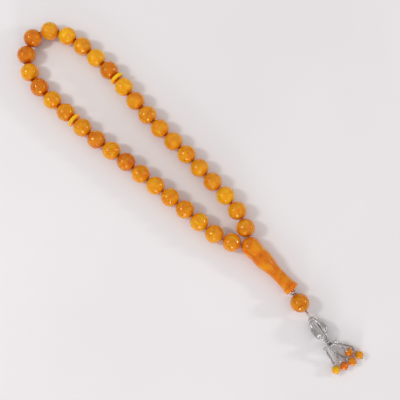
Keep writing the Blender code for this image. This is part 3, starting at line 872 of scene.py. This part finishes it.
def make_knot(material):
    """The cord's end: a wound knot, and the loop of thread that holds the tassel."""
    work = bmesh.new()
    centre = tassel_point(KNOT_STATION)
    base = placed(TASSEL_AXIS, centre)
    add_ball(work, centre, KNOT_RADIUS * KNOT_CORE_SHARE)
    wrap = KNOT_RADIUS * KNOT_WRAP_SHARE
    for i in range(KNOT_WRAPS):
        tilt = KNOT_WRAP_LEAN * (i - KNOT_WRAPS // 2)
        lean = Matrix.Rotation(math.radians(tilt), 4, "X" if i % 2 else "Y")
        turn = Matrix.Rotation(math.radians(KNOT_WRAP_TURN * i), 4, "Z")
        add_hoop(work, KNOT_RADIUS - wrap, wrap, base @ turn @ lean, 36, 8, 2, 9)
    loop = placed(upright(TASSEL_AXIS), tassel_point(KNOT_LOOP_STATION))
    add_hoop(work, KNOT_LOOP[0], KNOT_LOOP[1], loop, 64, 12, 3, 4)
    item = make_piece("cord_knot_wound", work, material, "cord_and_imam", ["cord_knot"])


def make_stop_ring(material):
    """The small ring round both strands, between the imam and the end bead."""
    low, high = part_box("stop_ring")
    stem = [Vector(p) * MM for p in STEM_ROUTE]
    rows = 16
    profile = []
    for i in range(rows):
        angle = math.tau * i / rows
        reach = STOP_RING_RADIUS + STOP_RING_BULGE * math.cos(angle)
        profile.append((reach, STOP_RING_HALF_LENGTH * math.sin(angle)))
    work = bmesh.new()
    add_lathe(work, profile, 40)
    place = placed(stem[3] - stem[2], (low + high) / 2)
    item = make_piece("stop_ring_turned", work, material, "cord_and_imam", ["stop_ring"], place)


def make_top_ring(material):
    work = bmesh.new()
    add_hoop(work, TOP_RING[0], TOP_RING[1], None, 48, 14)
    place = placed(UP, tassel_point(TOP_RING_STATION), TASSEL_AXIS)
    item = make_piece("top_ring_wire", work, material, "top_ring", ["top_ring"], place)


def make_neck(material):
    """The eye and the wound rings above the cage."""
    work = bmesh.new()
    eye = placed(upright(TASSEL_AXIS), tassel_point(NECK_EYE_STATION))
    add_hoop(work, NECK_EYE[0], NECK_EYE[1], eye, 44, 12)
    narrow, wide = NECK_RADII
    wire = NECK_LENGTH / (2 * NECK_RINGS)
    place = placed(TASSEL_AXIS, tassel_point(NECK_STATION))
    core = [(narrow * 0.5, -wire), (narrow * 0.8, 0.0)]
    core += [(wide * 0.8, NECK_LENGTH - wire), (wide * 0.4, NECK_LENGTH)]
    add_lathe(work, core, 28, ring=False, matrix=place)
    for i in range(NECK_RINGS):
        reach = narrow + (wide - narrow) * i / (NECK_RINGS - 1) - wire
        turn = Matrix.Translation((0.0, 0.0, wire * (1 + 2 * i)))
        plies = 2 if i % 2 else 1
        add_hoop(work, reach, wire * 1.15, place @ turn, 72, 10, plies, 12 if plies == 2 else 0)
    item = make_piece("tassel_neck_wound", work, material, "cage", ["tassel_neck"])


def cage_surface(outline, angle, station):
    """Local point on the cage's swelling surface. Angle 0 points down."""
    reach = outline.at_height(station)
    return Vector((reach * math.cos(angle), reach * math.sin(angle), station))


class Outline:
    """A profile radius that can be read at any station."""

    def __init__(self, pairs):
        self.points = smooth_curve([Vector((radius, 0, station)) * MM for station, radius in pairs])

    def at_height(self, station):
        points = self.points
        station = min(max(station, points[0].z), points[-1].z)
        for a, b in zip(points, points[1:]):
            if station <= b.z:
                share = (station - a.z) / (b.z - a.z)
                return a.x + (b.x - a.x) * share
        return points[-1].x


def petal_spread(station):
    """A petal's half angle at a station: a leaf, widest below its middle."""
    share = min(max(station / CAGE_LENGTH, 0.0), 1.0)
    return PETAL_HALF_ANGLE * math.sin(math.pi * share**1.1) ** 0.55


def petal_line(outline, middle, side, inset, start, end, count=44):
    """One edge of a petal, moved in by a share of its width."""
    spots = []
    for i in range(count):
        station = start + (end - start) * i / (count - 1)
        angle = middle + side * petal_spread(station) * inset
        spots.append(cage_surface(outline, angle, station))
    return spots


def scroll_line(outline, middle, side, centre, size, turns, count=46):
    """A spiral scroll laid on the cage's surface."""
    spots = []
    for i in range(count):
        share = i / (count - 1)
        reach = size * (1 - 0.82 * share)
        sweep = math.tau * turns * share + math.pi
        station = centre + reach * math.cos(sweep)
        radius = outline.at_height(station)
        across = petal_spread(centre) * 0.46 + reach * math.sin(sweep) / radius
        spots.append(cage_surface(outline, middle + side * across, station))
    return spots


def add_leaf(work, outline, middle, rows=36, columns=8):
    """A thin leaf-shaped plate between a petal's edges, just inside its wires."""
    outer, inner = [], []
    for i in range(rows + 1):
        station = 0.3 * MM + (CAGE_LENGTH - 0.6 * MM) * i / rows
        reach = outline.at_height(station) - LEAF_INSET
        half = petal_spread(station) * 0.97
        for layer, radius in ((outer, reach), (inner, reach - LEAF_THICKNESS)):
            angles = [middle + half * (2 * j / columns - 1) for j in range(columns + 1)]
            spots = [(radius * math.cos(a), radius * math.sin(a), station) for a in angles]
            layer.append([work.verts.new(spot) for spot in spots])
    for i in range(rows):
        for j in range(columns):
            for layer in (outer, inner):
                work.faces.new((layer[i][j], layer[i][j + 1], layer[i + 1][j + 1], layer[i + 1][j]))
        for j in (0, columns):
            work.faces.new((outer[i][j], inner[i][j], inner[i + 1][j], outer[i + 1][j]))
    for i in (0, rows):
        for j in range(columns):
            work.faces.new((outer[i][j], inner[i][j], inner[i][j + 1], outer[i][j + 1]))


def make_cage(material, sheet):
    """A drop of four leaf-shaped plates edged with twisted wire, with rope ribs between them."""
    work = bmesh.new()
    leaves = bmesh.new()
    outline = Outline(CAGE_OUTLINE)
    for station, ring in ((0.0, CAGE_HEAD_RING), (CAGE_LENGTH, CAGE_FOOT_RING)):
        lift = Matrix.Translation((0.0, 0.0, station))
        add_hoop(work, *ring, lift, 90, 10, 2, 12)
    for petal in range(PETAL_COUNT):
        middle = math.tau * (petal + 0.5) / PETAL_COUNT
        add_leaf(leaves, outline, middle)
        start, end = 0.1 * MM, CAGE_LENGTH - 0.1 * MM
        for side in (1, -1):
            rope = Path(petal_line(outline, middle, side, 1.0, start, end)).spread(ROPE_STEP)
            add_tube(work, rope, PETAL_WIRE, 8, plies=2, turns=len(rope) / ROPE_STEPS_PER_TURN)
            inner = petal_line(outline, middle, side, PETAL_INNER_SHARE, 1.0 * MM, CAGE_LENGTH - 1.0 * MM)
            add_tube(work, inner, PETAL_INNER_WIRE, 6)
            grains = petal_line(outline, middle, side, PETAL_GRAIN_SHARE, 1.6 * MM, CAGE_LENGTH - 2.4 * MM)
            for spot in Path(grains).spread(PETAL_GRAIN * 2.4):
                add_ball(work, spot, PETAL_GRAIN, 6, 8)
            scroll = scroll_line(outline, middle, side, SCROLL_STATION, SCROLL_SIZE, SCROLL_TURNS)
            add_tube(work, scroll, PETAL_INNER_WIRE, 6)
        midrib = petal_line(outline, middle, 1, 0.0, 0.3 * MM, CAGE_LENGTH - 0.3 * MM)
        add_tube(work, midrib, PETAL_INNER_WIRE * 1.5, 8)
        rib = math.tau * petal / PETAL_COUNT
        line = Path([cage_surface(outline, rib, CAGE_LENGTH * i / 40) for i in range(41)])
        rope = line.spread(ROPE_STEP)
        add_tube(work, rope, RIB_WIRE, 8, plies=2, turns=len(rope) / ROPE_STEPS_PER_TURN)
    place = placed(TASSEL_AXIS, tassel_point(CAGE_STATION))
    item = make_piece("cage_filigree", work, material, "cage", ["cage"], place)
    item = make_piece("cage_leaves", leaves, sheet, "cage", (), place)


def make_collar(material):
    """Grains between two twisted rings, under the cage."""
    work = bmesh.new()
    length = COLLAR_LENGTH
    core = [(COLLAR_CORE * 0.5, 0.0), (COLLAR_CORE, 0.05 * MM), (COLLAR_CORE * 0.9, length * 0.5)]
    core += [(COLLAR_CORE, length - 0.05 * MM), (COLLAR_CORE * 0.5, length)]
    add_lathe(work, core, 28, ring=False)
    for station in (0.2 * MM, length - 0.2 * MM):
        lift = Matrix.Translation((0.0, 0.0, station))
        add_hoop(work, *COLLAR_RING, lift, 60, 8, 2, 9)
    for spot in ring_points(COLLAR_GRAIN_CIRCLE, COLLAR_GRAINS):
        add_ball(work, spot + UP * length * 0.5, COLLAR_GRAIN)
    place = placed(TASSEL_AXIS, tassel_point(COLLAR_STATION))
    item = make_piece("tassel_collar_grains", work, material, "cage", ["tassel_collar"], place)


def rim_loop_centre(index):
    angle = math.radians(CHAIN_LIES[index][0])
    side = RIM_LOOP_CIRCLE * math.cos(angle)
    height = TASSEL_ORIGIN.z + RIM_LOOP_CIRCLE * math.sin(angle)
    return tassel_point(RIM_LOOP_STATION, side, height)


def make_rosette(material):
    """The fluted cap with a grained rim, and the loops that hold the chains."""
    work = bmesh.new()
    thick = ROSETTE_THICKNESS
    place = placed(TASSEL_AXIS, tassel_point(ROSETTE_STATION))
    profile = []
    for i in range(ROSETTE_FACE_ROWS + 1):
        share = i / ROSETTE_FACE_ROWS
        reach = ROSETTE_BORE + (ROSETTE_RADIUS - ROSETTE_BORE) * share
        profile.append((reach, thick * 0.7 * share**2.2))
    profile.append((ROSETTE_RADIUS * 0.99, thick * 0.95))
    for i in range(ROSETTE_BACK_ROWS):
        share = 1 - i / ROSETTE_BACK_ROWS
        reach = 0.5 * MM + (ROSETTE_RADIUS - 0.7 * MM) * share
        profile.append((reach, thick * (0.5 + 0.45 * share**2.2)))

    def flute(angle, row):
        back_row = row - (ROSETTE_FACE_ROWS + 2)
        if back_row < 0:
            reach = min(row, ROSETTE_FACE_ROWS) / ROSETTE_FACE_ROWS
        else:
            reach = max(0.0, 1 - back_row / (ROSETTE_BACK_ROWS - 1))
        return 1.0 + ROSETTE_FLUTE_DEPTH * reach * (math.cos(ROSETTE_FLUTES * angle) - 1.0)

    add_lathe(work, profile, ROSETTE_FLUTES * 6, ring=True, matrix=place, flute=flute)
    boss = [(0.3 * MM, -0.1 * MM), (1.0 * MM, 0.0), (1.0 * MM, thick * 0.8), (0.3 * MM, thick)]
    add_lathe(work, boss, 24, ring=False, matrix=place)
    rim = place @ Matrix.Translation((0.0, 0.0, thick * 0.35))
    add_hoop(work, ROSETTE_RADIUS * 0.78, ROSETTE_ROPE, rim, 120, 8, 2, 30)
    for spot in ring_points(ROSETTE_RADIUS * 0.93, ROSETTE_FLUTES):
        add_ball(work, place @ (spot + UP * thick * 0.5), ROSETTE_GRAIN, 8, 10)
    for index in range(len(CHAIN_LIES)):
        loop = placed(UP, rim_loop_centre(index), TASSEL_AXIS)
        add_hoop(work, RIM_LOOP[0], RIM_LOOP[1], loop, 40, 10)
    item = make_piece("rosette_fluted", work, material, "cage", ["rosette"])


def chain_ends(index):
    """A chain's first eye and direction, its last eye and direction, its pin's eye, bead and lie."""
    lie = [tassel_point(s * MM, t * MM, z * MM) for s, t, z in CHAIN_LIES[index][1]]
    hinge, _ = joint_of("chain_{}".format(index + 1))
    leave = (lie[0] - hinge).normalized()
    first_eye = hinge + leave * (CHAIN_EYE[0] - RIM_LOOP[1] - CHAIN_EYE[1] - LINK_GAP)
    bead, _ = joint_of("tassel_bead_{}".format(index + 1))
    arrive = (bead - lie[-1]).normalized()
    pin_eye = bead - arrive * (TASSEL_BEAD_RADIUS + PIN_EYE[0] + PIN_EYE[1])
    last_eye = pin_eye - arrive * (CHAIN_EYE[0] + PIN_EYE[0] - CHAIN_EYE[1] - PIN_EYE[1] - LINK_GAP)
    return first_eye, leave, last_eye, arrive, pin_eye, bead, lie


def link_points(count=22):
    """Centre line of one long link in the XZ plane, its length along Z."""
    spots = []
    for i in range(count):
        angle = math.tau * i / count
        shift = LINK_HALF_STRAIGHT if math.cos(angle) >= 0 else -LINK_HALF_STRAIGHT
        height = LINK_TURN * math.cos(angle) + shift
        spots.append(Vector((LINK_TURN * math.sin(angle), 0.0, height)))
    return spots


def make_chain(index, material):
    """A row of links between the rosette's loop and the pin, with a round eye at each end."""
    number = index + 1
    first_eye, leave, last_eye, arrive, _, _, lie = chain_ends(index)
    work = bmesh.new()
    add_hoop(work, *CHAIN_EYE, placed(leave.cross(UP).normalized(), first_eye, leave), 36, 10)
    across = arrive.cross(arrive.cross(UP)).normalized()
    add_hoop(work, *CHAIN_EYE, placed(across, last_eye, arrive), 36, 10)
    reach = CHAIN_EYE[0] - CHAIN_EYE[1] - LINK_WIRE
    route = [first_eye + leave * reach, *lie, last_eye - arrive * reach]
    path = Path(smooth_curve(route))
    longest = 2 * (LINK_HALF_STRAIGHT + LINK_TURN - LINK_WIRE)
    overlap = 2 * LINK_WIRE
    count = max(1, math.ceil((path.length - overlap) / longest))
    pitch = (path.length + overlap) / (count + LINK_SLACK)
    outline = link_points()
    for i in range(count):
        distance = pitch * (i + 0.5) + (path.length - pitch * count) / 2
        along = path.along(distance)
        roll = Matrix.Rotation(math.radians(45.0 + 90.0 * (i % 2)), 4, "Z")
        place = placed(along, path.at(distance)) @ roll
        spots = [place @ spot for spot in outline]
        add_tube(work, spots, LINK_WIRE, 8, True, place.to_3x3() @ Vector((0.0, 1.0, 0.0)))
    name = "chain_{}".format(number)
    item = make_piece(name + "_links", work, material, name, [name])


def make_pin(index, material):
    """A pin through a small bead: an eye and a fluted cup above, a ball below."""
    number = index + 1
    _, _, _, arrive, pin_eye, bead, _ = chain_ends(index)
    work = bmesh.new()
    add_hoop(work, *PIN_EYE, placed(arrive.cross(UP).normalized(), pin_eye, arrive), 36, 10)
    place = placed(arrive, bead)
    top = -(bead - pin_eye).length + PIN_EYE[0]
    foot = TASSEL_BEAD_RADIUS + PIN_FOOT
    shaft = [(PIN_RADIUS, top), (PIN_RADIUS, foot + 0.1 * MM)]
    add_lathe(work, shaft, 16, ring=False, matrix=place)
    cup = []
    for i in range(PIN_CUP_ROWS):
        angle = math.radians(8 + 6 * i)
        cup.append((PIN_CUP_WIDTH * math.sin(angle), -PIN_CUP_RADIUS * math.cos(angle * 0.47)))
    cup += [(radius - 0.05 * MM, height + 0.11 * MM) for radius, height in reversed(cup)]

    def flute(angle, row):
        return 1.0 + 0.03 * math.cos(PIN_CUP_FLUTES * angle)

    add_lathe(work, cup, 36, matrix=place, flute=flute)
    add_ball(work, place @ Vector((0.0, 0.0, foot + 0.2 * MM)), PIN_BALL_RADIUS, 12, 18)
    name = "pin_{}".format(number)
    item = make_piece(name + "_wire", work, material, name, [name])


def make_tassel(thread):
    wire = silver_material("silver_wire", SILVER, 0.28, SILVER_DARK, 0.6 * MM)
    cast = silver_material("silver_cast", SILVER, 0.24, SILVER_DARK, 0.8 * MM)
    sheet = silver_material("silver_sheet", SILVER_SHEET, 0.34, SILVER_DARK, 0.6 * MM)
    make_knot(thread)
    make_stop_ring(sheet)
    make_top_ring(wire)
    make_neck(wire)
    make_cage(wire, sheet)
    make_collar(wire)
    make_rosette(cast)
    for index in range(len(CHAIN_LIES)):
        make_chain(index, sheet)
        make_pin(index, cast)
        body = "tassel_bead_{}".format(index + 1)
        centre, axis = joint_of(body)
        make_ball(
            body + "_ball",
            body,
            centre,
            axis,
            TASSEL_BEAD_RADIUS,
            TASSEL_BEAD_BORE,
            TASSEL_BEAD_TONES[index],
            SEED * 7 + index,
        )


# Stage


def make_stage():
    """Table top, soft studio lights and the camera."""
    work = bmesh.new()
    bmesh.ops.create_grid(work, x_segments=8, y_segments=8, size=TABLE_SIZE / 2)
    data = bpy.data.meshes.new("table")
    work.to_mesh(data)
    work.free()
    data.materials.append(table_material())
    table = bpy.data.objects.new("table", data)
    table.location.z = -TABLE_GAP
    bpy.context.scene.collection.objects.link(table)

    back = view_axis()
    right = Vector((math.cos(CAMERA_AZIMUTH), math.sin(CAMERA_AZIMUTH), 0.0))
    ahead = back.cross(right)
    for name, (turn, lean, distance, size, power, tint) in LIGHTS.items():
        light = bpy.data.lights.new(name, "AREA")
        light.shape = "DISK"
        light.size = size
        light.energy = power
        light.color = tint
        item = bpy.data.objects.new(name, light)
        sideways = right * math.cos(math.radians(turn)) + ahead * math.sin(math.radians(turn))
        heading = back * math.cos(math.radians(lean)) + sideways * math.sin(math.radians(lean))
        item.location = CAMERA_TARGET + heading * distance
        item.rotation_euler = (CAMERA_TARGET - item.location).to_track_quat("-Z", "Y").to_euler()
        bpy.context.scene.collection.objects.link(item)

    make_world()

    lens = bpy.data.cameras.new("camera")
    lens.lens = CAMERA_LENS
    lens.sensor_width = CAMERA_SENSOR
    lens.clip_start = CAMERA_CLIP_START
    camera = bpy.data.objects.new("camera", lens)
    camera.location = CAMERA_TARGET + back * CAMERA_DISTANCE
    camera.rotation_euler = back.to_track_quat("Z", "Y").to_euler()
    bpy.context.scene.collection.objects.link(camera)
    bpy.context.scene.camera = camera
    bpy.context.scene.view_settings.view_transform = "Standard"


def make_world():
    """Even studio light, brightest halfway up and dim overhead and near the horizon."""
    world = bpy.data.worlds.new("studio")
    world.use_nodes = True
    tree = world.node_tree
    place = tree.nodes.new("ShaderNodeTexCoord")
    split = tree.nodes.new("ShaderNodeSeparateXYZ")
    tree.links.new(place.outputs["Generated"], split.inputs["Vector"])
    ramp = tree.nodes.new("ShaderNodeValToRGB")
    set_stops(ramp, [(at, [part * level for part in WORLD_COLOUR]) for at, level in WORLD_STOPS])
    tree.links.new(split.outputs["Z"], ramp.inputs["Fac"])
    tree.links.new(ramp.outputs["Color"], tree.nodes["Background"].inputs["Color"])
    bpy.context.scene.world = world


def view_axis():
    """Unit vector from the target to the camera."""
    flat = math.cos(CAMERA_ELEVATION)
    return Vector(
        (
            math.sin(CAMERA_AZIMUTH) * flat,
            -math.cos(CAMERA_AZIMUTH) * flat,
            math.sin(CAMERA_ELEVATION),
        )
    )


def main():
    thread = thread_material()
    make_cord(thread)
    make_beads()
    make_discs()
    make_imam()
    make_tassel(thread)
    make_stage()


main()
